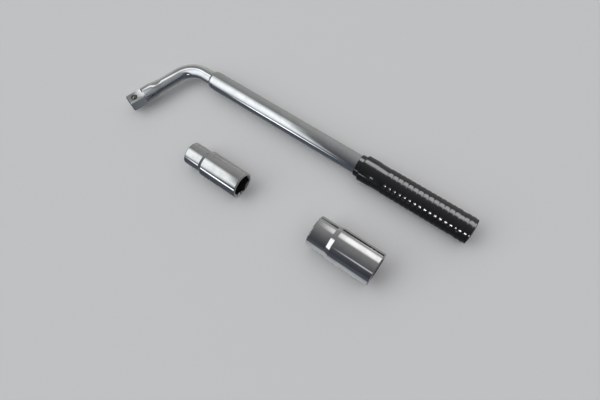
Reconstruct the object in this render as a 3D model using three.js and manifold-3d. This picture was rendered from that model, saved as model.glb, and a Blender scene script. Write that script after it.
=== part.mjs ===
// Telescopic lug wrench with two double-ended sockets. Millimetres, +Z up.
//
// The tube's axis runs along +X. The bar slides out of the tube's mouth towards -X. Its end is bent in
// the horizontal plane and carries a square drive. Both sockets lie beside the tube, on the side that
// the bent arm points to.
import * as THREE from 'three';
import { mergeVertices } from 'three/addons/utils/BufferGeometryUtils.js';
import Module from 'manifold-3d';

const wasm = await Module();
wasm.setup();

// ---- Driving dimensions ----------------------------------------------------------------------------
// Places along the tube are measured from the point where the bar's two centre lines cross.
const GAP = 0.3; // clearance between neighbouring pieces
const ROUND = 32; // facets round a large cylinder
const BAR_FACETS = 28;
const FINE = 20; // facets round a small hole or pin

const GRIP_R = 12.6;
const AXIS_Z = GRIP_R; // the grip touches the ground
const GRIP_START = 208;
const GRIP_END = 320;
const GRIP_LIP = { start: 203, radius: 10.7 };
const GRIP_COLLAR_END = 220.5;
const GRIP_ROOT_R = 11.9;
const GRIP_WALL = 4.7; // closed end
const RIBS = [
  { first: 235, count: 14, pitch: 5.1 },
  { first: 310, count: 2, pitch: 4.8 },
];
const RIB_R = 12.5;

const TUBE_R = 9.4;
const TUBE_BORE_R = 7.9;
const TUBE_START = 28;
const TUBE_END = 313;
const MOUTH = { length: 5, lipR: 8.1, boreR: 7.1, throat: 3 };
const PLUG = { insert: 10, lead: 1, flange: 1.7 }; // closes the tube's far end

const BAR_R = 6.8;
const BEND_R = 24; // centre line of the bend
const BEND_OVERLAP = { shaft: 9, arm: 24 }; // how far the bend runs into each straight
const ARM_ANGLE = THREE.MathUtils.degToRad(110); // between the tube's axis and the arm
const ARM_LENGTH = 74; // crossing point to the drive's tip
const DRIVE = { across: 12.6, length: 16, chamfer: 1, root: 2, tip: { length: 1.6, spread: 1.12 } };
const HEAD = { radius: 8.2, length: 10, flare: 13 }; // round head behind the square
const BAR_END = 218;
const SPIGOT = { start: 201, radius: 5.2 };
const CLIP_GROOVE = { start: 214, width: 1.6, radius: 4.4 };

const TRAVEL = 150; // how far the bar slides out
const LOCK_BALL = { x: 196, radius: 3.2, pocketR: 3.5, pocketTop: 4.5, depth: 4.3 };
const LOCK_HOLE_R = 3;
const DRIVE_BALL = { fromTip: 7.2, radius: 3, pocketR: 3.3, height: 3.95, pocketFloor: -4.4 };
const STAKE = { mouthR: 3.45, rimR: 2.65, rimTop: 0.35, rimBottom: 0.65 };
const SPRING = { wire: 0.35, radius: 2.2, turns: 3.5 };

const SOCKET_SMALL = {
  x: 63.5, y: -77, length: 62, headR: 11.3, bodyR: 12.85, head: 17.5, cone: 3.5,
  smallHex: 17, largeHex: 19, smallDepth: 22, web: 14,
};
const SOCKET_LARGE = {
  x: 206, y: -75.5, length: 63.5, headR: 14.6, bodyR: 15.9, head: 18.3, cone: 4.3,
  smallHex: 21, largeHex: 23, smallDepth: 23.5, web: 14,
};
const SQUARE_HOLE = 12.9;
const SOCKET_EDGE = 0.7; // rounding of the outer rims
const DIMPLE = { radius: 2.2, inset: 1.1 }; // catches the drive ball, in each side of the square hole

// ---- Materials -------------------------------------------------------------------------------------
const finish = (color, roughness, metalness) => new THREE.MeshStandardMaterial({ color, roughness, metalness });
const CHROME = finish(0xd9dde1, 0.08, 1);
const SOCKET_CHROME = finish(0xcfd3d6, 0.14, 1);
const BLACK_RUBBER = finish(0x14161a, 0.35, 0);
const NYLON = finish(0x2b2d30, 0.55, 0);
const BALL_STEEL = finish(0xb9bcc0, 0.12, 1);
const SPRING_STEEL = finish(0x8b8f94, 0.35, 1);
const BRONZE = finish(0xa67c45, 0.4, 1);

// ---- Solids: three.js geometry to manifold and back ------------------------------------------------
function toSolid(geometry) {
  const bare = geometry.index ? geometry.toNonIndexed() : geometry.clone();
  bare.deleteAttribute('normal');
  bare.deleteAttribute('uv');
  const merged = mergeVertices(bare, 1e-4);
  const corners = merged.index.array;
  const faces = [];
  for (let i = 0; i < corners.length; i += 3) {
    const [a, b, c] = [corners[i], corners[i + 1], corners[i + 2]];
    if (a !== b && b !== c && c !== a) faces.push(a, b, c);
  }
  const vertProperties = new Float32Array(merged.attributes.position.array);
  return new wasm.Manifold(new wasm.Mesh({ numProp: 3, vertProperties, triVerts: new Uint32Array(faces) }));
}

function toGeometry(solid) {
  const mesh = solid.getMesh();
  const geometry = new THREE.BufferGeometry();
  geometry.setAttribute('position', new THREE.BufferAttribute(new Float32Array(mesh.vertProperties), 3));
  geometry.setIndex(new THREE.BufferAttribute(new Uint32Array(mesh.triVerts), 1));
  geometry.computeVertexNormals();
  return geometry;
}

function namedMesh(name, solid, material) {
  const mesh = new THREE.Mesh(toGeometry(solid), material);
  mesh.name = name;
  return mesh;
}

// A body of revolution about +X. Each profile point is [x, radius], from the low end round the outside.
function turned(profile, segments = ROUND) {
  const points = profile.map(([x, radius]) => new THREE.Vector2(radius, x));
  const geometry = new THREE.LatheGeometry(points, segments);
  geometry.rotateZ(-Math.PI / 2);
  return toSolid(geometry);
}

// The same about +Z, for the vertical ball pockets. Each point is [z, radius].
function turnedUpright(profile, segments = FINE) {
  const points = profile.map(([z, radius]) => new THREE.Vector2(radius, z));
  const geometry = new THREE.LatheGeometry(points, segments);
  geometry.rotateX(Math.PI / 2);
  return toSolid(geometry);
}

// A straight prism along +X from start, with a section in the YZ plane.
function prism(shape, start, length) {
  const geometry = new THREE.ExtrudeGeometry(shape, { depth: length, bevelEnabled: false });
  geometry.rotateY(Math.PI / 2);
  geometry.translate(start, 0, 0);
  return toSolid(geometry);
}

function polygon(sides, apothem, turn = 0) {
  const shape = new THREE.Shape();
  const radius = apothem / Math.cos(Math.PI / sides);
  for (let i = 0; i < sides; i += 1) {
    const angle = turn + ((2 * i + 1) * Math.PI) / sides;
    const [x, y] = [radius * Math.cos(angle), radius * Math.sin(angle)];
    if (i === 0) shape.moveTo(x, y);
    else shape.lineTo(x, y);
  }
  shape.closePath();
  return shape;
}

// A quarter round between two profile points, bulging outwards: from [x0, r0] to [x1, r1].
function quarter([x0, r0], [x1, r1], steps, outwardFirst) {
  const points = [];
  for (let i = 0; i <= steps; i += 1) {
    const angle = (i / steps) * (Math.PI / 2);
    const [s, c] = [Math.sin(angle), 1 - Math.cos(angle)];
    points.push(outwardFirst ? [x0 + (x1 - x0) * c, r0 + (r1 - r0) * s] : [x0 + (x1 - x0) * s, r0 + (r1 - r0) * c]);
  }
  return points;
}

// ---- Handle: tube, plug and grip -------------------------------------------------------------------
function lockHole(x) {
  const hole = turnedUpright([[-TUBE_R - 2, 0], [-TUBE_R - 2, LOCK_HOLE_R], [-4, LOCK_HOLE_R], [-4, 0]]);
  return hole.translate([x, 0, 0]);
}

function outerTube() {
  const shoulder = TUBE_START + MOUTH.length;
  const throat = TUBE_START + MOUTH.throat;
  const shell = turned([
    [TUBE_START, MOUTH.boreR],
    ...quarter([TUBE_START, MOUTH.lipR], [shoulder, TUBE_R], 4, true),
    [TUBE_END, TUBE_R],
    [TUBE_END, TUBE_BORE_R],
    [shoulder, TUBE_BORE_R],
    [throat, MOUTH.boreR],
    [TUBE_START, MOUTH.boreR],
  ]);
  return shell.subtract(lockHole(LOCK_BALL.x)).subtract(lockHole(LOCK_BALL.x - TRAVEL));
}

function tubeEndPlug() {
  const tip = TUBE_END - PLUG.insert;
  const flange = TUBE_END + GAP;
  const flangeR = TUBE_R - 0.2;
  return turned([
    [tip, 0],
    [tip, TUBE_BORE_R - PLUG.lead],
    [tip + PLUG.lead, TUBE_BORE_R - GAP],
    [flange, TUBE_BORE_R - GAP],
    [flange, flangeR],
    [flange + PLUG.flange, flangeR],
    [flange + PLUG.flange, 0],
  ], 24);
}

// One run of ribs: a root, then a crest and a root for each rib.
function ribProfile({ first, count, pitch }) {
  const profile = [[first - pitch / 2, GRIP_ROOT_R]];
  for (let i = 0; i < count; i += 1) {
    profile.push([first + i * pitch, RIB_R], [first + (i + 0.5) * pitch, GRIP_ROOT_R]);
  }
  return profile;
}

function gripSleeve() {
  const bore = TUBE_R + GAP;
  const floor = GRIP_END - GRIP_WALL;
  return turned([
    [floor, 0],
    [floor, bore],
    [GRIP_LIP.start, bore],
    [GRIP_LIP.start, GRIP_LIP.radius - 0.4],
    [GRIP_LIP.start + 0.8, GRIP_LIP.radius],
    [GRIP_START, GRIP_LIP.radius],
    ...quarter([GRIP_START, GRIP_LIP.radius + 0.4], [GRIP_START + 1.5, GRIP_R], 3, true),
    [GRIP_COLLAR_END, GRIP_R],
    [GRIP_COLLAR_END + 2.5, GRIP_ROOT_R],
    ...RIBS.flatMap(ribProfile),
    ...quarter([GRIP_END - 2.4, GRIP_ROOT_R + 0.1], [GRIP_END, GRIP_ROOT_R - 3], 4, false),
    [GRIP_END, 0],
  ], 28);
}

// ---- Bar: straight shaft, bend, arm and square drive ------------------------------------------------
// The arm is built along +X and then turned about Z to its real direction.
function turnToArm(solid) {
  return solid.rotate([0, 0, -THREE.MathUtils.radToDeg(ARM_ANGLE)]);
}

function barShaft() {
  const start = BEND_R * Math.tan((Math.PI - ARM_ANGLE) / 2) + 2;
  const groove = CLIP_GROOVE;
  return turned([
    [start, 0],
    [start, BAR_R],
    [SPIGOT.start, BAR_R],
    [SPIGOT.start, SPIGOT.radius],
    [groove.start, SPIGOT.radius],
    [groove.start, groove.radius],
    [groove.start + groove.width, groove.radius],
    [groove.start + groove.width, SPIGOT.radius],
    [BAR_END - 0.6, SPIGOT.radius],
    [BAR_END, SPIGOT.radius - 0.6],
    [BAR_END, 0],
  ], BAR_FACETS);
}

// The bend is a swept circle that runs a little way along both straights.
function barBend() {
  const turn = Math.PI - ARM_ANGLE;
  const tangent = BEND_R * Math.tan(turn / 2);
  const path = new THREE.CurvePath();
  const arm = new THREE.Vector3(Math.cos(ARM_ANGLE), -Math.sin(ARM_ANGLE), 0);
  const entry = new THREE.Vector3(tangent, 0, 0);
  const exit = arm.clone().multiplyScalar(tangent);
  const steps = 12;
  let previous = new THREE.Vector3(tangent + BEND_OVERLAP.shaft, 0, 0);
  for (let i = 0; i <= steps; i += 1) {
    const angle = (i / steps) * turn;
    const point = new THREE.Vector3(
      entry.x - BEND_R * Math.sin(angle),
      -BEND_R * (1 - Math.cos(angle)),
      0,
    );
    path.add(new THREE.LineCurve3(previous, point));
    previous = point;
  }
  path.add(new THREE.LineCurve3(previous, exit.clone().addScaledVector(arm, BEND_OVERLAP.arm)));
  const section = polygon(BAR_FACETS, BAR_R);
  return toSolid(new THREE.ExtrudeGeometry(section, { extrudePath: path, steps: 26, bevelEnabled: false }));
}

// The arm flares into a round head, which is the shoulder that a socket comes up against.
function armHead() {
  const shoulder = ARM_LENGTH - DRIVE.length;
  const flareEnd = shoulder - HEAD.length;
  const flareStart = flareEnd - HEAD.flare;
  const flare = [];
  const steps = 6;
  for (let i = 0; i <= steps; i += 1) {
    const blend = (1 - Math.cos((i / steps) * Math.PI)) / 2;
    flare.push([flareStart + (i / steps) * HEAD.flare, BAR_R - 0.3 + (HEAD.radius - BAR_R + 0.3) * blend]);
  }
  return turnToArm(turned([
    [flareStart, 0],
    ...flare,
    [shoulder - 0.9, HEAD.radius],
    [shoulder, HEAD.radius - 0.9],
    [shoulder, 0],
  ], BAR_FACETS));
}

function driveSquare() {
  const half = DRIVE.across / 2;
  const inner = half - DRIVE.chamfer;
  const shape = new THREE.Shape();
  shape.moveTo(half, -inner);
  shape.lineTo(half, inner);
  shape.lineTo(inner, half);
  shape.lineTo(-inner, half);
  shape.lineTo(-half, inner);
  shape.lineTo(-half, -inner);
  shape.lineTo(-inner, -half);
  shape.lineTo(inner, -half);
  shape.closePath();
  const start = ARM_LENGTH - DRIVE.length - DRIVE.root;
  const square = prism(shape, start, DRIVE.length + DRIVE.root);
  const clear = half * 1.5; // outside the square's corners
  const tip = turned([
    [start - 1, 0],
    [start - 1, clear],
    [ARM_LENGTH - DRIVE.tip.length, clear],
    [ARM_LENGTH, half * DRIVE.tip.spread],
    [ARM_LENGTH, 0],
  ], ROUND);
  return turnToArm(square.intersect(tip));
}

// The drive ball's pocket: a mouth that narrows to a staked rim, then the pocket itself.
function driveBallPocket() {
  const face = DRIVE.across / 2;
  const pocket = turnedUpright([
    [DRIVE_BALL.pocketFloor, 0],
    [DRIVE_BALL.pocketFloor, DRIVE_BALL.pocketR],
    [face - STAKE.rimBottom, DRIVE_BALL.pocketR],
    [face - STAKE.rimBottom, STAKE.rimR],
    [face - STAKE.rimTop, STAKE.rimR],
    [face, STAKE.mouthR],
    [face + 1, STAKE.mouthR + 0.8],
    [face + 1, 0],
  ]);
  return turnToArm(pocket.translate([ARM_LENGTH - DRIVE_BALL.fromTip, 0, 0]));
}

function lockBallPocket() {
  const pocket = turnedUpright([
    [-BAR_R - 1, 0],
    [-BAR_R - 1, LOCK_BALL.pocketR],
    [LOCK_BALL.pocketTop, LOCK_BALL.pocketR],
    [LOCK_BALL.pocketTop, 0],
  ]);
  return pocket.translate([LOCK_BALL.x, 0, 0]);
}

function driveBar() {
  const bar = barShaft().add(barBend()).add(armHead()).add(driveSquare());
  return bar.subtract(driveBallPocket()).subtract(lockBallPocket());
}

// ---- Small pieces on the bar -----------------------------------------------------------------------
function guideBush() {
  const start = SPIGOT.start + GAP;
  const end = CLIP_GROOVE.start - GAP;
  const outer = TUBE_BORE_R - GAP;
  const inner = SPIGOT.radius + GAP;
  return turned([
    [start, inner],
    [start, outer - 0.4],
    [start + 0.4, outer],
    [end - 0.4, outer],
    [end, outer - 0.4],
    [end, inner],
    [start, inner],
  ]);
}

// An open spring clip that sits in the groove and keeps the bush on the bar.
function retainingClip() {
  const inner = CLIP_GROOVE.radius + GAP;
  const outer = TUBE_BORE_R - 0.5;
  const open = 0.35; // half of the gap's angle, in radians
  const shape = new THREE.Shape();
  shape.absarc(0, 0, outer, open, 2 * Math.PI - open, false);
  shape.absarc(0, 0, inner, 2 * Math.PI - open, open, true);
  shape.closePath();
  const thickness = CLIP_GROOVE.width - 2 * GAP;
  const geometry = new THREE.ExtrudeGeometry(shape, { depth: thickness, bevelEnabled: false, curveSegments: 20 });
  geometry.rotateY(Math.PI / 2);
  geometry.translate(CLIP_GROOVE.start + GAP, 0, 0);
  return toSolid(geometry);
}

function ball(radius) {
  return toSolid(new THREE.SphereGeometry(radius, 16, 12));
}

class Helix extends THREE.Curve {
  constructor(radius, low, high, turns) {
    super();
    Object.assign(this, { radius, low, high, turns });
  }

  getPoint(t, target = new THREE.Vector3()) {
    const angle = 2 * Math.PI * this.turns * t;
    const z = this.low + (this.high - this.low) * t;
    return target.set(this.radius * Math.cos(angle), this.radius * Math.sin(angle), z);
  }
}

// An upright coil spring whose wire stays between the two heights.
function coilSpring(low, high) {
  const path = new Helix(SPRING.radius, low + SPRING.wire, high - SPRING.wire, SPRING.turns);
  const wire = polygon(6, SPRING.wire);
  const steps = SPRING.turns * 10;
  return toSolid(new THREE.ExtrudeGeometry(wire, { extrudePath: path, steps, bevelEnabled: false }));
}

// ---- Sockets ---------------------------------------------------------------------------------------
// Each socket has a hexagon in both ends and a square hole through the web between them.
function hexRecess(across, start, depth, mouthAtStart) {
  const corner = across / Math.sqrt(3);
  const lead = corner - across / 2;
  const recess = prism(polygon(6, across / 2), start - (mouthAtStart ? 1 : 0), depth + 1);
  const mouth = mouthAtStart ? start : start + depth;
  const cone = mouthAtStart
    ? [[mouth - 1, 0], [mouth - 1, corner + 1], [mouth + lead, across / 2], [mouth + lead, 0]]
    : [[mouth - lead, 0], [mouth - lead, across / 2], [mouth + 1, corner + 1], [mouth + 1, 0]];
  return recess.add(turned(cone, ROUND));
}

function socket(size) {
  const edge = SOCKET_EDGE;
  const neck = size.head + size.cone;
  let body = turned([
    [0, 0],
    ...quarter([0, size.headR - edge], [edge, size.headR], 3, true),
    [size.head, size.headR],
    [neck, size.bodyR],
    ...quarter([size.length - edge, size.bodyR], [size.length, size.bodyR - edge], 3, false),
    [size.length, 0],
  ]);
  const webEnd = size.smallDepth + size.web;
  body = body.subtract(hexRecess(size.smallHex, 0, size.smallDepth, true));
  body = body.subtract(hexRecess(size.largeHex, webEnd, size.length - webEnd, false));
  body = body.subtract(prism(polygon(4, SQUARE_HOLE / 2), size.smallDepth - 1, size.web + 2));
  for (let i = 0; i < 4; i += 1) {
    const height = SQUARE_HOLE / 2 - DIMPLE.inset;
    const dimple = ball(DIMPLE.radius).translate([size.smallDepth + size.web / 2, 0, height]);
    body = body.subtract(dimple.rotate([90 * i, 0, 0]));
  }
  return body;
}

// ---- Assembly --------------------------------------------------------------------------------------
const armDirection = new THREE.Vector3(Math.cos(ARM_ANGLE), -Math.sin(ARM_ANGLE), 0);
const driveBallPlace = armDirection.clone().multiplyScalar(ARM_LENGTH - DRIVE_BALL.fromTip);

const handle = new THREE.Group();
handle.add(
  namedMesh('outer_tube', outerTube(), CHROME),
  namedMesh('tube_end_plug', tubeEndPlug(), NYLON),
  namedMesh('grip_sleeve', gripSleeve(), BLACK_RUBBER),
);

const slidingBar = new THREE.Group();
slidingBar.add(
  namedMesh('drive_bar', driveBar(), CHROME),
  namedMesh('guide_bush', guideBush(), BRONZE),
  namedMesh('bush_retaining_clip', retainingClip(), SPRING_STEEL),
);

const lockBall = namedMesh('lock_ball', ball(LOCK_BALL.radius), BALL_STEEL);
lockBall.position.set(LOCK_BALL.x, 0, -LOCK_BALL.depth);
const lockSpringFoot = LOCK_BALL.radius - LOCK_BALL.depth + GAP;
const lockSpring = namedMesh('lock_spring', coilSpring(lockSpringFoot, LOCK_BALL.pocketTop - GAP), SPRING_STEEL);
lockSpring.position.set(LOCK_BALL.x, 0, 0);
slidingBar.add(lockBall, lockSpring);

const driveBall = namedMesh('drive_ball', ball(DRIVE_BALL.radius), BALL_STEEL);
driveBall.position.copy(driveBallPlace).setZ(DRIVE_BALL.height);
const driveSpringTop = DRIVE_BALL.height - DRIVE_BALL.radius - GAP;
const driveSpring = namedMesh(
  'drive_ball_spring',
  coilSpring(DRIVE_BALL.pocketFloor + GAP, driveSpringTop),
  SPRING_STEEL,
);
driveSpring.position.copy(driveBallPlace);
slidingBar.add(driveBall, driveSpring);

const wrench = new THREE.Group();
wrench.add(handle, slidingBar);
wrench.position.z = AXIS_Z;

function placedSocket(name, size) {
  const mesh = namedMesh(name, socket(size), SOCKET_CHROME);
  mesh.position.set(size.x, size.y, size.bodyR);
  return mesh;
}

const layout = new THREE.Group();
layout.add(
  wrench,
  placedSocket('socket_17_19', SOCKET_SMALL),
  placedSocket('socket_21_23', SOCKET_LARGE),
);

// The origin is the middle of the whole outline, on the ground.
layout.updateMatrixWorld(true);
const outline = new THREE.Box3().setFromObject(layout, true);
const centre = outline.getCenter(new THREE.Vector3());
layout.position.set(-centre.x, -centre.y, -outline.min.z);

const part = new THREE.Group();
part.add(layout);

export default part;
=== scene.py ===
"""A telescopic lug wrench and its two loose double-ended sockets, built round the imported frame.

Blender's unit is the metre. Outlines are in millimetres, because that is how the tool is dimensioned,
and are scaled as each mesh is made. Places along the tube are measured from the bar's corner, the point
where the centre lines of its shaft and its arm cross.
"""
import math

import bmesh
import bpy
from mathutils import Matrix, Vector


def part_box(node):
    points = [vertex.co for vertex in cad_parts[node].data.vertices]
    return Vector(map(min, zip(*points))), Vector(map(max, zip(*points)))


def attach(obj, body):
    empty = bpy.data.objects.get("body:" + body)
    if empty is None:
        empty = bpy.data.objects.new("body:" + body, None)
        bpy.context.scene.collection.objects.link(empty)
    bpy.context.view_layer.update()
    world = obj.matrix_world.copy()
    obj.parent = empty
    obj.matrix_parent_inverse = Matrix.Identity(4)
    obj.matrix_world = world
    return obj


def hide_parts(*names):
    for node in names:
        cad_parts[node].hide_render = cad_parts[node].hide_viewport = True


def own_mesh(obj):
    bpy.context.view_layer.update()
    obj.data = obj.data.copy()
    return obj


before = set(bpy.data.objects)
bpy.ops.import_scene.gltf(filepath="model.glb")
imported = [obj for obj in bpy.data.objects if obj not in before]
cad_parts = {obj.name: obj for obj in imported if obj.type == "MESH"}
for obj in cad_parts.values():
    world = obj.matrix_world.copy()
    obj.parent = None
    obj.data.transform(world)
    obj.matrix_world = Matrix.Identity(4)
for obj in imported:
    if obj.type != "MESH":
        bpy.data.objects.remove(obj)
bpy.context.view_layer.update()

MM = 0.001

# ---- Places, read from the frame ---------------------------------------------------------------------


def span(node):
    """A CAD node's lowest and highest corners, in millimetres."""
    low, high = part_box(node)
    return low / MM, high / MM


TUBE_LOW, TUBE_HIGH = span("outer_tube")
_, BAR_HIGH = span("drive_bar")
GRIP_LOW, GRIP_HIGH = span("grip_sleeve")
TUBE_R = (TUBE_HIGH.z - TUBE_LOW.z) / 2
AXIS = (TUBE_LOW + TUBE_HIGH) / 2

TUBE_START = 28  # the tube's mouth, measured from the corner
CORNER = Vector((TUBE_LOW.x - TUBE_START, AXIS.y, AXIS.z))
TUBE_END = TUBE_HIGH.x - CORNER.x
BAR_END = BAR_HIGH.x - CORNER.x
GRIP_START = GRIP_LOW.x - CORNER.x
GRIP_END = GRIP_HIGH.x - CORNER.x

# ---- Driving dimensions, in millimetres --------------------------------------------------------------
FACETS = 128  # round a large turned piece
MIDDLE_FACETS = 96
SMALL_FACETS = 48
ARC_STEPS = 5  # round a small fillet
SHARP = 35  # faces that meet at more degrees than this have an edge between them
GAP = 0.3  # between neighbouring pieces
SLIVER = 0.002  # points closer than this after a cut are one point

TUBE_BORE_R = 7.9
LOCK_HOLE_R = 3.0
TRAVEL = 150  # of the bar in the tube

BAR_R = 6.8
BEND_R = 24
ARM_ANGLE = math.radians(110)
ARM_LENGTH = 74
DRIVE_LENGTH = 16
DRIVE_HALF = 6.3
DRIVE_CHAMFER = 1.0
HEAD_R = 8.2
HEAD_LENGTH = 10
FLARE_LENGTH = 13
SPIGOT_START = 201
SPIGOT_R = 5.2
GROOVE_START, GROOVE_END, GROOVE_R = 214, 215.6, 4.4
LOCK_BALL_X = 196
LOCK_POCKET_R = 3.5
LOCK_POCKET_TOP = 4.5
DRIVE_BALL_FROM_TIP = 7.2
DRIVE_POCKET_R = 3.3
DRIVE_POCKET_BOTTOM = -4.4

SOCKET_WEB = 14  # between the two hexagons of a socket
SQUARE_HOLE = 12.9
DIMPLE_R = 2.2
DIMPLE_FROM_AXIS = 5.35

ARM = Vector((math.cos(ARM_ANGLE), -math.sin(ARM_ANGLE), 0))
UP = Vector((0, 0, 1))

# ---- Mesh helpers ------------------------------------------------------------------------------------


def smooth(mesh, sharp=SHARP):
    """Shades a mesh smooth, except at edges that turn by more than sharp degrees."""
    mesh.shade_smooth()
    mesh.set_sharp_from_angle(angle=math.radians(sharp))


def piece_from(bm, name, sharp=SHARP):
    """Makes an object from a bmesh in millimetres."""
    bmesh.ops.recalc_face_normals(bm, faces=bm.faces)
    bmesh.ops.scale(bm, vec=(MM, MM, MM), verts=bm.verts)
    mesh = bpy.data.meshes.new(name)
    bm.to_mesh(mesh)
    bm.free()
    smooth(mesh, sharp)
    obj = bpy.data.objects.new(name, mesh)
    bpy.context.scene.collection.objects.link(obj)
    return obj


def rounded(outline, steps=ARC_STEPS):
    """The outline with an arc at each corner that gives a fillet radius as its third number."""
    points = []
    count = len(outline)
    for i, corner in enumerate(outline):
        here = Vector(corner[:2])
        if len(corner) == 2:
            points.append(here)
            continue
        to_last = (Vector(outline[i - 1][:2]) - here).normalized()
        to_next = (Vector(outline[(i + 1) % count][:2]) - here).normalized()
        half = to_last.angle(to_next) / 2
        centre = here + (to_last + to_next).normalized() * (corner[2] / math.sin(half))
        reach = corner[2] / math.tan(half)
        start = here + to_last * reach - centre
        sweep = start.angle_signed(here + to_next * reach - centre)
        for k in range(steps + 1):
            turn = Matrix.Rotation(-sweep * k / steps, 2)
            points.append(centre + turn @ start)
    return points


def loft(bm, rings, closed=False, capped=True):
    """Skins rings of points with quads. Open ends get a flat cap, unless capped is false."""
    loops = [[bm.verts.new(p) for p in ring] for ring in rings]
    pairs = list(zip(loops, loops[1:]))
    if closed:
        pairs.append((loops[-1], loops[0]))
    for a, b in pairs:
        for i in range(len(a)):
            j = (i + 1) % len(a)
            bm.faces.new((a[i], a[j], b[j], b[i]))
    if capped and not closed:
        bm.faces.new(loops[0])
        bm.faces.new(loops[-1])


def turned(name, outline, place, facets=FACETS, closed=False, capped=True):
    """Turns an outline of (x, radius) points about the X axis of place, as on a lathe."""
    bm = bmesh.new()
    angles = [2 * math.pi * k / facets for k in range(facets)]
    rings = []
    for x, r in rounded(outline):
        rings.append([place @ Vector((x, r * math.cos(a), r * math.sin(a))) for a in angles])
    loft(bm, rings, closed, capped)
    return piece_from(bm, name)


def turned_ball(name, radius, steps, place):
    """A ball, turned from a half circle, with the small ground flats that its poles keep."""
    angles = [math.pi * k / steps for k in range(1, steps)]
    outline = [(-radius * math.cos(a), radius * math.sin(a)) for a in angles]
    return turned(name, outline, place, 2 * steps)


def prism(name, outline, start, end, place):
    """A straight bar of the given YZ outline along the X axis of place."""
    bm = bmesh.new()
    loft(bm, [[place @ Vector((x, p[0], p[1])) for p in outline] for x in (start, end)])
    return piece_from(bm, name)


def merge_slivers(mesh):
    bm = bmesh.new()
    bm.from_mesh(mesh)
    bmesh.ops.remove_doubles(bm, verts=bm.verts, dist=SLIVER * MM)
    bmesh.ops.dissolve_degenerate(bm, edges=bm.edges, dist=SLIVER * MM)
    bm.to_mesh(mesh)
    bm.free()


def cut(obj, cutters):
    """Cuts each cutter out of obj for good, and deletes the cutters."""
    for cutter in cutters:
        knife = obj.modifiers.new(cutter.name, "BOOLEAN")
        knife.operation = "DIFFERENCE"
        knife.solver = "EXACT"
        knife.object = cutter
    bpy.context.view_layer.update()
    result = obj.evaluated_get(bpy.context.evaluated_depsgraph_get())
    obj.data = bpy.data.meshes.new_from_object(result)
    obj.modifiers.clear()
    for cutter in cutters:
        bpy.data.objects.remove(cutter)
    merge_slivers(obj.data)
    smooth(obj.data)
    return obj


def along_tube(x=0.0):
    """A place on the tube's axis, x from the corner."""
    return Matrix.Translation(CORNER + Vector((x, 0, 0)))


def upright_at(point):
    """A place whose X axis points up."""
    return Matrix.Translation(point) @ Matrix.Rotation(-math.pi / 2, 4, "Y")


def polygon(sides, across, corner_r):
    """A regular polygon, measured across its flats, with slightly rounded corners."""
    radius = across / 2 / math.cos(math.pi / sides)
    angles = [(2 * k + 1) * math.pi / sides for k in range(sides)]
    return rounded([(radius * math.cos(a), radius * math.sin(a), corner_r) for a in angles], 3)


# ---- Materials ---------------------------------------------------------------------------------------

# A Mix node's colour sockets, by number because its sockets for other types have the same names.
MIX_A, MIX_B, MIX_RESULT = 6, 7, 2


class Shader:
    """A procedural material on the piece's own coordinates, in millimetres."""

    def __init__(self, name):
        self.material = bpy.data.materials.new(name)
        self.material.use_nodes = True
        self.tree = self.material.node_tree
        self.surface = self.tree.nodes["Principled BSDF"]
        coordinates = self.node("ShaderNodeTexCoord")
        scale = self.node("ShaderNodeVectorMath", operation="SCALE")
        scale.inputs["Scale"].default_value = 1 / MM
        self.link(coordinates.outputs["Object"], scale.inputs[0])
        self.place = scale.outputs[0]

    def node(self, kind, **settings):
        made = self.tree.nodes.new(kind)
        for key, value in settings.items():
            setattr(made, key, value)
        return made

    def link(self, a, b):
        self.tree.links.new(a, b)

    def put(self, value, socket):
        """Links a node's output, or sets a plain value."""
        if isinstance(value, bpy.types.NodeSocket):
            self.link(value, socket)
        else:
            socket.default_value = value

    def stretched(self, scale):
        made = self.node("ShaderNodeMapping")
        made.inputs["Scale"].default_value = scale
        self.link(self.place, made.inputs["Vector"])
        return made.outputs[0]

    def noise(self, scale, detail=3.0, roughness=0.5, stretch=(1, 1, 1)):
        """Noise whose features are about 1 / scale millimetres across."""
        made = self.node("ShaderNodeTexNoise")
        made.inputs["Scale"].default_value = scale
        made.inputs["Detail"].default_value = detail
        made.inputs["Roughness"].default_value = roughness
        self.link(self.stretched(stretch), made.inputs["Vector"])
        return made.outputs["Fac"]

    def cells(self, scale):
        """The distance to the nearest of many scattered points."""
        made = self.node("ShaderNodeTexVoronoi")
        made.inputs["Scale"].default_value = scale
        self.link(self.place, made.inputs["Vector"])
        return made.outputs["Distance"]

    def ramp(self, value, low, high, out_low=0.0, out_high=1.0):
        made = self.node("ShaderNodeMapRange", clamp=True)
        self.put(value, made.inputs["Value"])
        ends = {"From Min": low, "From Max": high, "To Min": out_low, "To Max": out_high}
        for key, number in ends.items():
            made.inputs[key].default_value = number
        return made.outputs[0]

    def maths(self, operation, a, b):
        made = self.node("ShaderNodeMath", operation=operation)
        self.put(a, made.inputs[0])
        self.put(b, made.inputs[1])
        return made.outputs[0]

    def mix(self, factor, a, b):
        made = self.node("ShaderNodeMix", data_type="RGBA")
        self.put(factor, made.inputs["Factor"])
        self.put(a, made.inputs[MIX_A])
        self.put(b, made.inputs[MIX_B])
        return made.outputs[MIX_RESULT]

    def bump(self, height, distance, below=None):
        """A bumped normal. Its height of 1 stands that many millimetres proud."""
        made = self.node("ShaderNodeBump")
        made.inputs["Distance"].default_value = distance * MM
        self.link(height, made.inputs["Height"])
        if below is not None:
            self.link(below, made.inputs["Normal"])
        return made.outputs[0]

    def finish(self, **inputs):
        for key, value in inputs.items():
            self.put(value, self.surface.inputs[key.replace("_", " ")])
        return self.material


def shade(r, g, b):
    return (r, g, b, 1.0)


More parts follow.
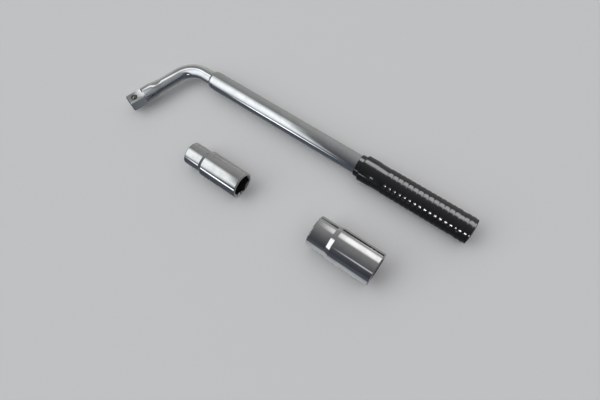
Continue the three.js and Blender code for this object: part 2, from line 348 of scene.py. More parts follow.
def chrome(name, bright, dull, wave):
    """Bright plating: a faint wave from the forging, fine scuffs, and a film of oil and handling."""
    s = Shader(name)
    film = s.ramp(s.noise(0.09, 4, 0.6), 0.42, 0.68)
    pits = s.ramp(s.cells(0.55), 0.0, 0.09, 1, 0)
    sparse = s.ramp(s.noise(0.35, 2), 0.55, 0.62)
    specks = s.maths("MULTIPLY", pits, sparse)
    scuffs = s.ramp(s.noise(1.6, 5, 0.7, (0.12, 1, 1)), 0.575, 0.85)
    color = s.mix(film, shade(*bright), shade(*dull))
    color = s.mix(specks, color, shade(0.25, 0.24, 0.23))
    rough = s.maths("ADD", s.ramp(film, 0, 1, 0.045, 0.11), s.maths("MULTIPLY", scuffs, 0.12))
    rough = s.maths("ADD", rough, s.maths("MULTIPLY", specks, 0.3))
    low = s.bump(s.noise(0.16, 2, 0.4), wave)
    fine = s.bump(scuffs, 0.002, low)
    return s.finish(Base_Color=color, Metallic=1.0, Roughness=rough, Normal=fine)


def bare_steel_and_recess_shade(name):
    """Unplated steel in sockets and pockets, brushed by the tool that cut it, with a brown oil stain. Its
    dark colour is also painted shade for the recesses that it lines.
    """
    s = Shader(name)
    stain = s.ramp(s.noise(0.25, 4, 0.6), 0.4, 0.7)
    marks = s.noise(2.2, 3, 0.6, (0.06, 1, 1))
    # These dark colours also paint the shade of the recesses that this steel lines.
    color = s.mix(stain, shade(0.3, 0.28, 0.265), shade(0.18, 0.13, 0.105))
    rough = s.ramp(marks, 0.3, 0.7, 0.28, 0.5)
    return s.finish(Base_Color=color, Metallic=1.0, Roughness=rough, Normal=s.bump(marks, 0.02))


def grip_black(name):
    """Glossy black moulded plastic with a faint orange peel, dust and handling marks."""
    s = Shader(name)
    peel = s.noise(1.1, 2, 0.5)
    haze = s.ramp(s.noise(0.12, 4, 0.65), 0.4, 0.7)
    dust = s.maths("MULTIPLY", s.ramp(s.cells(1.3), 0.0, 0.12, 1, 0), s.ramp(s.noise(0.5, 2), 0.56, 0.6))
    scratches = s.ramp(s.noise(2.4, 4, 0.6, (0.15, 1, 1)), 0.62, 0.8)
    color = s.mix(dust, shade(0.0095, 0.0098, 0.0112), shade(0.09, 0.09, 0.085))
    rough = s.maths("ADD", s.ramp(haze, 0, 1, 0.13, 0.22), s.maths("MULTIPLY", scratches, 0.15))
    normal = s.bump(scratches, 0.004, s.bump(peel, 0.02))
    return s.finish(Base_Color=color, Roughness=rough, Specular_IOR_Level=0.55, Normal=normal)


def bearing_steel_and_pocket_shade(name):
    # Darker than bare bearing steel: the colour also paints the shade of the pocket that each ball sits
    # in.
    s = Shader(name)
    haze = s.ramp(s.noise(0.7, 3), 0.35, 0.7)
    color = s.mix(haze, shade(0.3, 0.29, 0.28), shade(0.2, 0.19, 0.185))
    return s.finish(Base_Color=color, Metallic=1.0, Roughness=s.ramp(haze, 0, 1, 0.08, 0.18),
                    Normal=s.bump(s.noise(1.5), 0.004))


def spring_steel(name):
    s = Shader(name)
    drawn = s.noise(3.0, 3, 0.6)
    color = s.mix(drawn, shade(0.34, 0.34, 0.35), shade(0.2, 0.2, 0.21))
    return s.finish(Base_Color=color, Metallic=1.0, Roughness=s.ramp(drawn, 0.3, 0.7, 0.28, 0.5),
                    Normal=s.bump(drawn, 0.01))


def sintered_bronze(name):
    s = Shader(name)
    pores = s.cells(3.2)
    color = s.mix(s.ramp(pores, 0.05, 0.3), shade(0.2, 0.12, 0.05), shade(0.5, 0.33, 0.15))
    return s.finish(Base_Color=color, Metallic=1.0, Roughness=s.ramp(s.noise(0.8), 0.3, 0.7, 0.3, 0.5),
                    Normal=s.bump(pores, 0.03))


def black_nylon(name):
    s = Shader(name)
    grain = s.noise(2.5, 3)
    color = s.mix(grain, shade(0.018, 0.018, 0.02), shade(0.04, 0.04, 0.042))
    rough = s.ramp(grain, 0.3, 0.7, 0.45, 0.65)
    return s.finish(Base_Color=color, Roughness=rough, Normal=s.bump(grain, 0.03))


HANDLE_CHROME = chrome("handle_chrome", (0.7, 0.715, 0.73), (0.62, 0.63, 0.645), 0.012)
SOCKET_CHROME = chrome("socket_chrome", (0.66, 0.665, 0.675), (0.56, 0.56, 0.565), 0.008)
# Dark bare steel, which also paints the shade in the pockets and in the sockets' holes.
BARE_STEEL_AND_RECESS_SHADE = bare_steel_and_recess_shade("bare_steel_and_recess_shade")
GRIP = grip_black("grip_black")
# Darkened ball steel, which also paints the shade of the balls' pockets.
BALL_STEEL_AND_POCKET_SHADE = bearing_steel_and_pocket_shade("bearing_steel_and_pocket_shade")
SPRING = spring_steel("spring_steel")
BRONZE = sintered_bronze("sintered_bronze")
NYLON = black_nylon("black_nylon")


def fit(obj, material, body, node):
    """Gives a finished piece its material, its body and the CAD node that it stands for."""
    obj.data.materials.clear()
    obj.data.materials.append(material)
    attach(obj, body)
    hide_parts(node)


# ---- Handle: tube, plug and grip ---------------------------------------------------------------------


def make_tube():
    """The mouth is drawn in and rounded. Two lock holes are drilled through the lower wall."""
    mouth_r, lip_r, shoulder_r = 7.15, 8.15, 9.05
    outline = [
        (TUBE_START, mouth_r, 0.4),
        (TUBE_START, lip_r, 0.5),
        (TUBE_START + 2.2, shoulder_r, 2.2),
        (TUBE_START + 6.5, TUBE_R, 6),
        (TUBE_END, TUBE_R, 0.3),
        (TUBE_END, TUBE_BORE_R, 0.3),
        (TUBE_START + 5, TUBE_BORE_R, 1),
        (TUBE_START + 3, mouth_r, 1),
    ]
    tube = turned("chrome_tube", outline, along_tube(), closed=True)
    drill = [(TUBE_BORE_R / 2, LOCK_HOLE_R), (TUBE_R + 0.5, LOCK_HOLE_R)]
    downwards = Matrix.Rotation(math.pi / 2, 4, "Y")
    holes = []
    for x in (LOCK_BALL_X - TRAVEL, LOCK_BALL_X):
        holes.append(turned("drill", drill, along_tube(x) @ downwards, SMALL_FACETS))
    fit(cut(tube, holes), HANDLE_CHROME, "handle", "outer_tube")


def make_plug():
    """A cup pushed into the tube's far end, with a flange over the tube's edge."""
    start, flange = TUBE_END - 10, TUBE_END + GAP
    body_r, flange_r = TUBE_BORE_R - GAP, TUBE_R - 0.2
    outline = [
        (TUBE_END - 3, 4, 0.3),
        (start, 4.5, 0.3),
        (start, 6.6, 0.3),
        (start + 1, body_r, 0.3),
        (flange, body_r),
        (flange, flange_r, 0.2),
        (flange + 1.7, flange_r, 0.3),
    ]
    plug = turned("end_plug", outline, along_tube(), MIDDLE_FACETS)
    fit(plug, NYLON, "handle", "tube_end_plug")


GRIP_BORE_R = TUBE_R + GAP
GRIP_LIP_R = 10.6
GRIP_COLLAR_R = 12.6
GRIP_ROOT_R = 12.05
GRIP_CREST_R = 12.45
COLLAR_START, COLLAR_END = 208, 220.5
RIB_RUNS = [(235, 14, 5.1), (310, 2, 4.8)]  # first crest, how many, pitch
RIB_STEPS = 16


def rib_run(first, count, pitch):
    """A run of ribs: broad, slightly crowned crests with narrow grooves between them."""
    points = []
    for k in range(count * RIB_STEPS + 1):
        phase = k / RIB_STEPS
        off_crest = abs(2 * (phase % 1) - 1)
        radius = GRIP_CREST_R - (GRIP_CREST_R - GRIP_ROOT_R) * off_crest ** 4
        points.append((first + (phase - 0.5) * pitch, radius))
    return points


def make_grip():
    """A lip, a smooth collar, two runs of ribs and a closed, rounded end."""
    floor = GRIP_END - 4.7
    outline = [
        (floor, 6),
        (floor, GRIP_BORE_R, 0.5),
        (GRIP_START, GRIP_BORE_R, 0.25),
        (GRIP_START, GRIP_LIP_R, 0.4),
        (COLLAR_START, GRIP_LIP_R + 0.1, 0.5),
        (COLLAR_START, GRIP_COLLAR_R, 1.3),
        (COLLAR_END, GRIP_COLLAR_R, 1.2),
        (COLLAR_END + 2.2, GRIP_ROOT_R + 0.1, 1.2),
    ]
    for run in RIB_RUNS:
        outline += rib_run(*run)
    outline += [
        (GRIP_END - 0.9, GRIP_ROOT_R + 0.25, 0.8),
        (GRIP_END - 0.6, GRIP_ROOT_R - 1.8, 1.5),
        (GRIP_END, 7.5, 2),
        (GRIP_END, 1),
    ]
    fit(turned("grip", outline, along_tube()), GRIP, "handle", "grip_sleeve")


# ---- Bar ---------------------------------------------------------------------------------------------


def drive_section():
    """The square drive's outline, with chamfered and slightly softened corners, as (side, up) points."""
    flat = DRIVE_HALF - DRIVE_CHAMFER
    steps = 14
    edge = [Vector((DRIVE_HALF, -flat + 2 * flat * k / steps)) for k in range(1, steps - 1)]
    corner = [(DRIVE_HALF, -flat), (DRIVE_HALF, flat, 0.35), (flat, DRIVE_HALF, 0.35), (-flat, DRIVE_HALF)]
    quarter = edge + rounded(corner, 4)[1:-1]
    turns = [Matrix.Rotation(k * math.pi / 2, 2) for k in range(4)]
    return [turn @ p for turn in turns for p in quarter]


SECTION = drive_section()


def bar_ring(distance, radius):
    """A round ring on the bar's centre line. Distance counts from the inner end, through the bend."""
    centre, side = bar_centre(distance)
    angles = [math.atan2(p.y, p.x) for p in SECTION]
    return [centre + side * (radius * math.cos(a)) + UP * (radius * math.sin(a)) for a in angles]


BEND_TURN = math.pi - ARM_ANGLE
TANGENT = BEND_R * math.tan(BEND_TURN / 2)
SHAFT_LENGTH = BAR_END - TANGENT
BEND_LENGTH = BEND_R * BEND_TURN
BAR_LENGTH = SHAFT_LENGTH + BEND_LENGTH + ARM_LENGTH - TANGENT


def bar_centre(distance):
    """A point on the bar's centre line, and the direction across the bar there, in the bend's plane."""
    if distance <= SHAFT_LENGTH:
        return CORNER + Vector((BAR_END - distance, 0, 0)), Vector((0, 1, 0))
    turn = min((distance - SHAFT_LENGTH) / BEND_R, BEND_TURN)
    side = Vector((-math.sin(turn), math.cos(turn), 0))
    pivot = CORNER + Vector((TANGENT, -BEND_R, 0))
    centre = pivot + side * BEND_R
    past = max(distance - SHAFT_LENGTH - BEND_LENGTH, 0)
    return centre + ARM * past, side


SHOULDER = BAR_LENGTH - DRIVE_LENGTH
FLARE_END = SHOULDER - HEAD_LENGTH
FLARE_START = FLARE_END - FLARE_LENGTH
DRIVE_BALL_AT = CORNER + ARM * (ARM_LENGTH - DRIVE_BALL_FROM_TIP)
LOCK_BALL_AT = CORNER + Vector((LOCK_BALL_X, 0, 0))


def spigot_outline():
    """The thin inner end, which carries the bush, with the clip's groove and the step up to the bar."""
    spigot_end, groove = BAR_END - SPIGOT_START, (BAR_END - GROOVE_END, BAR_END - GROOVE_START)
    return [
        (0, SPIGOT_R - 1.2),
        (0, SPIGOT_R - 0.6, 0.2),
        (0.6, SPIGOT_R, 0.2),
        (groove[0], SPIGOT_R, 0.1),
        (groove[0], GROOVE_R, 0.15),
        (groove[1], GROOVE_R, 0.15),
        (groove[1], SPIGOT_R, 0.1),
        (spigot_end, SPIGOT_R, 0.2),
        (spigot_end, BAR_R, 0.4),
    ]


def bar_outline():
    """(distance, radius) for every round ring of the bar, from its inner end to the head's shoulder."""
    outline = [tuple(p) for p in rounded(spigot_outline())]
    approach, spacing, bend_steps, flare_steps = 40, 4, 40, 24
    outline += [(SHAFT_LENGTH - approach + spacing * k, BAR_R) for k in range(approach // spacing)]
    outline += [(SHAFT_LENGTH + BEND_LENGTH * k / bend_steps, BAR_R) for k in range(bend_steps + 1)]
    for k in range(flare_steps + 1):
        swell = (1 - math.cos(math.pi * k / flare_steps)) / 2
        outline.append((FLARE_START + FLARE_LENGTH * k / flare_steps, BAR_R + (HEAD_R - BAR_R) * swell))
    head = [
        (FLARE_END + 1, HEAD_R),
        (SHOULDER - 1.0, HEAD_R, 0.4),
        (SHOULDER, HEAD_R - 1.0, 0.3),
        (SHOULDER, HEAD_R - 2.2),
    ]
    return outline + [tuple(p) for p in rounded(head)[:-1]]


def drive_rings():
    """The square drive, from just inside the shoulder to its chamfered tip."""
    _, side = bar_centre(BAR_LENGTH)
    # Each point is a distance from the shoulder and the share of the section's full size there.
    tip = rounded([(0.2, 1), (DRIVE_LENGTH - 1.1, 1, 0.5), (DRIVE_LENGTH, 0.84, 0.3), (DRIVE_LENGTH, 0.3)])
    rings = []
    for x, size in [(0.02, 1.0), *(tuple(p) for p in tip)]:
        centre, _ = bar_centre(SHOULDER + x)
        rings.append([centre + side * (p.x * size) + UP * (p.y * size) for p in SECTION])
    return rings


def bar_pockets():
    """What is drilled out of the bar for the two balls and their springs, as upright cutters."""
    drive_pocket = [
        (DRIVE_POCKET_BOTTOM, DRIVE_POCKET_R),
        (DRIVE_HALF - 0.75, DRIVE_POCKET_R),
        (DRIVE_HALF - 0.6, 2.65),
        (DRIVE_HALF - 0.42, 2.65, 0.12),
        (DRIVE_HALF - 0.12, 3.35, 0.1),
        (DRIVE_HALF + 1, 3.6),
    ]
    lock_pocket = [
        (-BAR_R - 1, 4.1),
        (-BAR_R + 0.3, LOCK_POCKET_R, 0.2),
        (LOCK_POCKET_TOP, LOCK_POCKET_R),
    ]
    return [
        turned("drive_pocket", drive_pocket, upright_at(DRIVE_BALL_AT), MIDDLE_FACETS),
        turned("lock_pocket", lock_pocket, upright_at(LOCK_BALL_AT), MIDDLE_FACETS),
    ]


def strip_and_shade_pockets(bar):
    """Gives the walls of the pockets the dark bare steel, because they are cut after plating. The darkness
    is also painted shade in the pockets.
    """
    reach = 4.2  # past the rim of the wider pocket
    bar.data.materials.append(BARE_STEEL_AND_RECESS_SHADE)
    for face in bar.data.polygons:
        centre = face.center / MM
        below_rim = abs(centre.z - CORNER.z) < DRIVE_HALF - 0.02
        for ball in (DRIVE_BALL_AT, LOCK_BALL_AT):
            to_axis = Vector((ball.x - centre.x, ball.y - centre.y, 0))
            inwards = face.normal.dot(to_axis) > 0.3 * to_axis.length
            if to_axis.length < reach and below_rim and inwards:
                face.material_index = 1


def make_bar():
    bm = bmesh.new()
    loft(bm, [bar_ring(*p) for p in bar_outline()] + drive_rings())
    bar = cut(piece_from(bm, "bent_bar"), bar_pockets())
    fit(bar, HANDLE_CHROME, "bar", "drive_bar")
    strip_and_shade_pockets(bar)


# ---- Small pieces on the bar -------------------------------------------------------------------------


def make_bush():
    """A plain bush with a shallow relief round its middle."""
    start, end = SPIGOT_START + GAP, GROOVE_START - GAP
    outer, inner = TUBE_BORE_R - GAP, SPIGOT_R + GAP
    relief_r = outer - 0.35
    outline = [
        (start, inner, 0.2),
        (start, outer, 0.4),
        (start + 5, outer),
        (start + 5.4, relief_r, 0.1),
        (end - 5.4, relief_r, 0.1),
        (end - 5, outer),
        (end, outer, 0.4),
        (end, inner, 0.2),
    ]
    bush = turned("guide_bush_fine", outline, along_tube(), MIDDLE_FACETS, closed=True)
    fit(bush, BRONZE, "bar", "guide_bush")


def make_clip():
    """An open ring of square wire with rounded ends."""
    inner, outer = GROOVE_R + GAP, TUBE_BORE_R - 0.5
    x0, x1 = GROOVE_START + GAP, GROOVE_END - GAP
    middle, half = (inner + outer) / 2, (outer - inner) / 2
    section = rounded([(x0, -half, 0.12), (x1, -half, 0.12), (x1, half, 0.12), (x0, half, 0.12)], 3)
    opening = 0.36  # half of the gap between its ends, in radians
    end_size = 0.55  # of the wire's width, at the ends
    rings = []
    for k in range(MIDDLE_FACETS + 1):
        angle = opening + (2 * math.pi - 2 * opening) * (k / MIDDLE_FACETS)
        size = end_size if k in (0, MIDDLE_FACETS) else 1.0
        across = Vector((0, math.sin(angle), -math.cos(angle)))
        rings.append([CORNER + Vector((p.x, 0, 0)) + across * (middle + p.y * size) for p in section])
    bm = bmesh.new()
    loft(bm, rings)
    fit(piece_from(bm, "retaining_clip"), SPRING, "bar", "bush_retaining_clip")


def make_ball(name, node, body):
    low, high = span(node)
    ball = turned_ball(name, (high.z - low.z) / 2, 36, upright_at((low + high) / 2))
    fit(ball, BALL_STEEL_AND_POCKET_SHADE, body, node)


WIRE_R = 0.36
SPRING_TURNS = 5.5


def coil_height(turn, bottom, top):
    """How high the wire's middle is after so many turns. The first and the last turn rise less."""
    closed_rise = 1.5 * WIRE_R
    if turn < 1:
        return bottom + closed_rise * turn
    if turn > SPRING_TURNS - 1:
        return top - closed_rise * (SPRING_TURNS - turn)
    return bottom + closed_rise + (top - bottom - 2 * closed_rise) * (turn - 1) / (SPRING_TURNS - 2)


def make_spring(name, node, joint=None):
    """A coil spring in the bar. With a joint, it gets a mesh of its own."""
    low, high = span(node)
    per_turn, sides, side_gap, end_gap = 40, 14, 0.03, 0.05
    coil_r = (high.x - low.x) / 2 - WIRE_R - side_gap
    foot = Vector(((low.x + high.x) / 2, (low.y + high.y) / 2, low.z))
    bottom, top = low.z + WIRE_R + end_gap, high.z - WIRE_R - end_gap
    rings = []
    steps = int(SPRING_TURNS * per_turn)
    for k in range(steps + 1):
        turn = SPRING_TURNS * k / steps
        angle = 2 * math.pi * turn
        out = Vector((math.cos(angle), math.sin(angle), 0))
        middle = Vector((foot.x, foot.y, coil_height(turn, bottom, top))) + out * coil_r
        around = [2 * math.pi * j / sides for j in range(sides)]
        rings.append([middle + out * (WIRE_R * math.cos(a)) + UP * (WIRE_R * math.sin(a)) for a in around])
    bm = bmesh.new()
    loft(bm, rings)
    spring = piece_from(bm, name, sharp=60)
    fit(spring, SPRING, "bar", node)
    if joint:
        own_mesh(spring)


# ---- Sockets -----------------------------------------------------------------------------------------


PLATED_DEPTH = 1.2


def hexagon_mouth(across, at, inwards, place):
    """A cutter for the lead-in cone of a hexagon whose rim is at that length. Inwards is 1 or -1."""
    corner_r = across / math.sqrt(3)
    lead = corner_r - across / 2
    core_r = 3  # well inside the hexagon
    points = [
        (at - inwards, core_r),
        (at - inwards, corner_r + 1),
        (at + inwards * lead, across / 2),
        (at + inwards * (lead + 0.5), core_r),
    ]
    return turned("lead_in", points if inwards > 0 else points[::-1], place)


def dimples(middle, place):
    """Cutters for the hollows in the square hole's four walls, which catch the drive's ball."""
    centre = Matrix.Translation(Vector((middle, 0, DIMPLE_FROM_AXIS)))
    turns = [Matrix.Rotation(k * math.pi / 2, 4, "X") for k in range(4)]
    return [turned_ball("dimple", DIMPLE_R, 16, place @ turn @ centre) for turn in turns]


def strip_and_shade_inside(shell, axis, length, bore_r):
    """Leaves the inside bare: the plating reaches over the rims and their lead-in cones, but no deeper.
    The dark bare steel is also painted shade inside the holes.
    """
    shell.data.materials.append(BARE_STEEL_AND_RECESS_SHADE)
    for face in shell.data.polygons:
        centre = face.center / MM - axis
        across = Vector((0, centre.y, centre.z))
        inwards = face.normal.dot(across) < -0.2 * across.length or across.length < bore_r
        deep = PLATED_DEPTH < centre.x < length - PLATED_DEPTH
        face.material_index = 1 if inwards and deep else 0


def make_socket(name, node, body, small_hex, large_hex, small_depth, head, cone, head_r):
    """A turned shell with a hexagon in both ends and a square hole through the web between them."""
    low, high = span(node)
    length = high.x - low.x
    body_r = (high.z - low.z) / 2
    axis = Vector((low.x, (low.y + high.y) / 2, (low.z + high.z) / 2))
    place = Matrix.Translation(axis)
    core_r = 4  # well inside the holes
    outline = [
        (0, core_r),
        (0, head_r, 1.0),
        (head, head_r, 2.0),
        (head + cone, body_r, 2.0),
        (length, body_r, 0.8),
        (length, core_r),
    ]
    web_end = small_depth + SOCKET_WEB
    cutters = [
        prism("small_hexagon", polygon(6, small_hex, corner_r=0.25), -1, small_depth, place),
        prism("large_hexagon", polygon(6, large_hex, corner_r=0.25), web_end, length + 1, place),
        prism("square", polygon(4, SQUARE_HOLE, corner_r=0.5), small_depth - 1, web_end + 1, place),
        hexagon_mouth(small_hex, 0, 1, place),
        hexagon_mouth(large_hex, length, -1, place),
        *dimples(small_depth + SOCKET_WEB / 2, place),
    ]
    shell = cut(turned(name, outline, place), cutters)
    fit(shell, SOCKET_CHROME, body, node)
    strip_and_shade_inside(shell, axis, length, 0.55 * head_r)


# ---- Stage -------------------------------------------------------------------------------------------

FLOOR_R = 2500
BACKDROP_BEND_R = 2000
BACKDROP = (0.52, 0.525, 0.535)  # as bright as the lit floor

# The room's colours from south, -1, to north, 1, above the horizon and below it, and in the far east.
SKY = [
    (-1.0, (0.06, 0.064, 0.075)),
    (-0.6, (0.22, 0.225, 0.24)),
    (0.0, (0.2, 0.2, 0.21)),
    (1.0, (0.38, 0.38, 0.37)),
]
GROUND = [(-0.5, (0.09, 0.1, 0.12)), (0.5, (0.36, 0.36, 0.345))]
EAST = (0.07, 0.075, 0.09)
HORIZON = (-0.04, 0.06)  # where the ground turns into the sky, as heights on a ball of radius 1
EASTERN = (0.55, 1.0)  # where the east's colour comes in, on the same ball

# Over what share of its width a light dims, at its -X, +X, lower and upper edges.
CRISP = (0.15, 0.15, 0.15, 0.15)
SOFT = (0.3, 0.3, 0.3, 0.3)
WINDOW_FADE = (0.1, 0.2, 0.45, 0.48)
WHITE = (1, 1, 1)
COOL = (0.95, 0.98, 1.0)
DAYLIGHT = (0.97, 1.0, 1.0)


def make_floor():
    """A pale floor, and far away a backdrop that curves up from it. Mirrors see the room instead."""
    matt = {"Roughness": 0.7, "Specular_IOR_Level": 0}
    paper = Shader("pale_floor").finish(Base_Color=shade(0.8, 0.8, 0.81), **matt)
    lit = {"Emission_Color": shade(*BACKDROP), "Emission_Strength": 1}
    glow = Shader("backdrop_glow").finish(Base_Color=shade(0, 0, 0), **matt, **lit)
    bm = bmesh.new()
    bmesh.ops.create_circle(bm, cap_ends=True, segments=FACETS, radius=FLOOR_R)
    floor = piece_from(bm, "floor")
    curve = rounded([(0, FLOOR_R), (0, 2 * FLOOR_R, BACKDROP_BEND_R), (2 * FLOOR_R, 2 * FLOOR_R)], 24)
    backdrop = turned("backdrop", [tuple(p) for p in curve], upright_at(Vector((0, 0, 0))), capped=False)
    backdrop.visible_diffuse = False
    for piece, material in ((floor, paper), (backdrop, glow)):
        piece.data.materials.append(material)
        piece.visible_glossy = False
        piece.visible_shadow = False


def make_camera():
    """The photograph's viewing angle: from steeply above, turned a little about the line of sight."""
    eye = Vector((0.1454, -0.1318, 0.4171))
    aim = Vector((0.0302, -0.0159, 0.0))
    roll = math.radians(-10.3)
    data = bpy.data.cameras.new("camera")
    data.sensor_width = 36
    data.lens = 28.65
    data.clip_start = 0.01
    camera = bpy.data.objects.new("camera", data)
    facing = (aim - eye).to_track_quat("-Z", "Y").to_matrix().to_4x4()
    camera.matrix_world = Matrix.Translation(eye) @ facing @ Matrix.Rotation(roll, 4, "Z")
    bpy.context.scene.collection.objects.link(camera)
    bpy.context.scene.camera = camera


def ramp_between(tree, value, low, high):
    """A smooth rise from 0 to 1 as value goes from low to high."""
    made = tree.nodes.new("ShaderNodeMapRange")
    made.interpolation_type = "SMOOTHSTEP"
    made.inputs["From Min"].default_value = low
    made.inputs["From Max"].default_value = high
    tree.links.new(value, made.inputs["Value"])
    return made.outputs[0]


def soften_edges(light, fade):
    """Dims a rectangular light towards its edges, as a softbox does."""
    light.use_nodes = True
    tree = light.node_tree
    place = tree.nodes.new("ShaderNodeNewGeometry").outputs["Parametric"]
    split = tree.nodes.new("ShaderNodeSeparateXYZ")
    tree.links.new(place, split.inputs[0])
    strength = None
    for axis, (start, end) in zip("XY", (fade[:2], fade[2:])):
        for low, high in ((0, start), (1, 1 - end)):
            rise = ramp_between(tree, split.outputs[axis], low, high)
            if strength is not None:
                product = tree.nodes.new("ShaderNodeMath")
                product.operation = "MULTIPLY"
                tree.links.new(strength, product.inputs[0])
                tree.links.new(rise, product.inputs[1])
                rise = product.outputs[0]
            strength = rise
    tree.links.new(strength, tree.nodes["Emission"].inputs["Strength"])


def link_group(name, pieces, state):
    """A collection of the named pieces, for a light to include or exclude."""
    group = bpy.data.collections.new(name)
    for piece in pieces:
        group.objects.link(bpy.data.objects[piece])
    for entry in group.collection_objects:
        entry.light_linking.link_state = state
    return group


def light_only(light, pieces, state="INCLUDE"):
    """Makes a light fall on the named pieces alone, or with EXCLUDE on everything but them."""
    light.light_linking.receiver_collection = link_group(light.name + "_receivers", pieces, state)


def light_past(light, pieces):
    """Keeps the named pieces from standing in a light's way."""
    light.light_linking.blocker_collection = link_group(light.name + "_blockers", pieces, "EXCLUDE")


def softbox(name, across, over, spread, height, radiance, color=WHITE, only=(), turn=0, fade=CRISP,
            seen_from=Vector((0, 0, 0)), distance=2.6):
    """A rectangular light, with its edges along and across the tube.

    Seen from a point of the object, it stands `across` degrees towards +X from the YZ plane and `over`
    degrees from straight up towards -Y. It fills `spread` by `height` degrees, and `turn` leans its lower
    side towards +X. `only` names the pieces that it lights.
    """
    a, b = math.radians(across), math.radians(over)
    towards = Vector((math.sin(a), -math.cos(a) * math.sin(b), math.cos(a) * math.cos(b)))
    lengthways = towards.cross(Vector((1, 0, 0))).normalized()
    data = bpy.data.lights.new(name, "AREA")
    data.shape = "RECTANGLE"
    data.size = 2 * distance * math.tan(math.radians(spread / 2))
    data.size_y = 2 * distance * math.cos(a) * math.tan(math.radians(height / 2))
    data.energy = radiance * math.pi * data.size * data.size_y
    data.color = color
    soften_edges(data, fade)
    light = bpy.data.objects.new(name, data)
    axes = Matrix((lengthways.cross(towards), lengthways, towards)).transposed().to_4x4()
    lean = Matrix.Rotation(math.radians(turn), 4, "Z")
    light.matrix_world = Matrix.Translation(seen_from + towards * distance) @ axes @ lean
    light.visible_camera = False
    bpy.context.scene.collection.objects.link(light)
    if only:
        light_only(light, only)
    return light


def color_ramp(tree, value, stops):
    """A colour that changes with value, from (place, colour) stops on a scale of -1 to 1."""
    scale = tree.nodes.new("ShaderNodeMapRange")
    scale.inputs["From Min"].default_value = -1
    made = tree.nodes.new("ShaderNodeValToRGB")
    ends = list(made.color_ramp.elements)
    middle = [made.color_ramp.elements.new(0.5) for _ in stops[2:]]
    for element, (place, color) in zip([ends[0], *middle, ends[1]], stops):
        element.position = (place + 1) / 2
        element.color = shade(*color)
    tree.links.new(value, scale.inputs["Value"])
    tree.links.new(scale.outputs[0], made.inputs["Fac"])
    return made.outputs["Color"]


def make_world():
    """A dim room: grey to the north, dark to the south and the east, with darker ground below."""
    world = bpy.data.worlds.new("studio")
    world.use_nodes = True
    tree = world.node_tree
    direction = tree.nodes.new("ShaderNodeTexCoord").outputs["Generated"]
    split = tree.nodes.new("ShaderNodeSeparateXYZ")
    tree.links.new(direction, split.inputs[0])
    mix = tree.nodes.new("ShaderNodeMix")
    mix.data_type = "RGBA"
    tree.links.new(ramp_between(tree, split.outputs["Z"], *HORIZON), mix.inputs["Factor"])
    for side, stops in ((MIX_A, GROUND), (MIX_B, SKY)):
        tree.links.new(color_ramp(tree, split.outputs["Y"], stops), mix.inputs[side])
    east = tree.nodes.new("ShaderNodeMix")
    east.data_type = "RGBA"
    east.inputs[MIX_B].default_value = shade(*EAST)
    tree.links.new(ramp_between(tree, split.outputs["X"], *EASTERN), east.inputs["Factor"])
    tree.links.new(mix.outputs[MIX_RESULT], east.inputs[MIX_A])
    tree.links.new(east.outputs[MIX_RESULT], tree.nodes["Background"].inputs["Color"])
    bpy.context.scene.world = world


def light_tube():
    """The window, for all that has no light of its own, and a low reflector that shines past a socket."""
    own_lights = ["floor", "grip", "bent_bar", "small_socket_fine", "large_socket_fine"]
    window = softbox("window", -35, 37, 46, 112, 1.28, DAYLIGHT, turn=7, fade=WINDOW_FADE)
    light_only(window, own_lights, "EXCLUDE")
    line = softbox("tube_line", -19, 94.5, 24, 11, 2.6, COOL, ["chrome_tube"], fade=(0.25, 0.5, 0.3, 0.3))
    light_past(line, ["small_socket_fine"])


def light_grip():
    """A wide window for the sheen, a spot for the ribs' glints, and a line for the collar."""
    grip = ["grip"]
    softbox("grip_window", 8, -42, 110, 44, 6.4, (0.97, 0.98, 1.0), grip, fade=(0.3, 0.3, 0.25, 0.25))
    softbox("grip_spot", 5, 64, 12, 7, 55, only=grip)
    softbox("collar_line", -16, 88, 14, 9, 6, only=grip, fade=(0.2, 0.4, 0.3, 0.3))


def light_floor():
    """The same window from further off, so that the floor is even as far as the backdrop."""
    floor = ["floor"]
    softbox("floor_window", -35, 37, 46, 112, 1.28, DAYLIGHT, floor, turn=7, fade=WINDOW_FADE, distance=20)
    softbox("fill", 0, 0, 100, 100, 0.5, only=floor, distance=20)


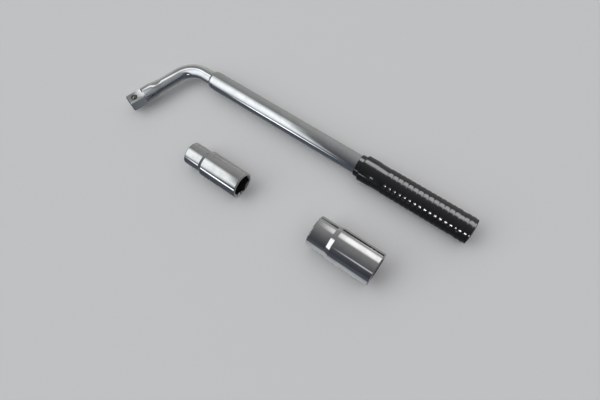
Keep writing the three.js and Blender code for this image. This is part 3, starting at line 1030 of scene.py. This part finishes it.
def light_bar():
    """A window for the bend, a strip close to the head for the top of the arm, and weaker panels."""
    bar = ["bent_bar"]
    head = (CORNER + ARM * (ARM_LENGTH - DRIVE_LENGTH - HEAD_LENGTH)) * MM
    softbox("bar_window", -17, 48, 86, 120, 1.2, COOL, bar, fade=(0.1, 0.25, 0.5, 0.5))
    softbox("arm_window", -20, -17, 66, 21, 0.95, (0.98, 1.0, 1.0), bar, fade=(0.2, 0.3, 0.35, 0.35),
            seen_from=head, distance=0.15)
    softbox("arm_panel", 40, 12, 76, 56, 0.14, COOL, bar, fade=(0.25, 0.25, 0.3, 0.3))
    softbox("bend_glint", 32, 84, 16, 18, 1.9, COOL, bar, fade=SOFT)
    softbox("north_card", -52, -90, 46, 76, 0.2, only=bar, fade=(0.2, 0.2, 0.2, 0.2))


def light_small_socket():
    """A window to the west, and a thin line low in the south."""
    small = ["small_socket_fine"]
    softbox("small_window", -33, 30, 46, 96, 1.15, DAYLIGHT, small, turn=8, fade=(0.1, 0.2, 0.35, 0.35))
    softbox("small_line", -25, 88, 30, 15, 2.3, COOL, small, fade=(0.45, 0.2, 0.3, 0.3))


def light_large_socket():
    """A window in the north, a glint on the cone, a faint line on the body, and a card from below."""
    large = ["large_socket_fine"]
    softbox("back_window", 3, -50, 44, 56, 1.04, only=large, fade=(0.37, 0.1, 0.35, 0.35))
    softbox("cone_window", -46, 40, 24, 90, 1.5, DAYLIGHT, large)
    softbox("lilac_line", 6, 45, 32, 13, 0.62, (0.9, 0.88, 1.0), large, fade=(0.35, 0.1, 0.35, 0.35))
    softbox("low_card", -5, 143, 50, 66, 0.4, (1.0, 1.0, 0.98), large, fade=(0.1, 0.1, 0.1, 0.25))


make_camera()
make_world()
make_floor()

make_tube()
make_plug()
make_grip()
make_bar()
make_bush()
make_clip()
make_ball("lock_ball_fine", "lock_ball", "lock_detent")
make_ball("drive_ball_fine", "drive_ball", "drive_detent")
make_spring("lock_spring_fine", "lock_spring")
make_spring("drive_spring_fine", "drive_ball_spring", "drive_ball_press")
make_socket("small_socket_fine", "socket_17_19", "small_socket",
            small_hex=17, large_hex=19, small_depth=22, head=17.5, cone=3.5, head_r=11.3)
make_socket("large_socket_fine", "socket_21_23", "large_socket",
            small_hex=21, large_hex=23, small_depth=23.5, head=18.3, cone=4.3, head_r=14.6)

light_tube()
light_grip()
light_floor()
light_bar()
light_small_socket()
light_large_socket()
bpy.context.scene.view_settings.view_transform = "Standard"
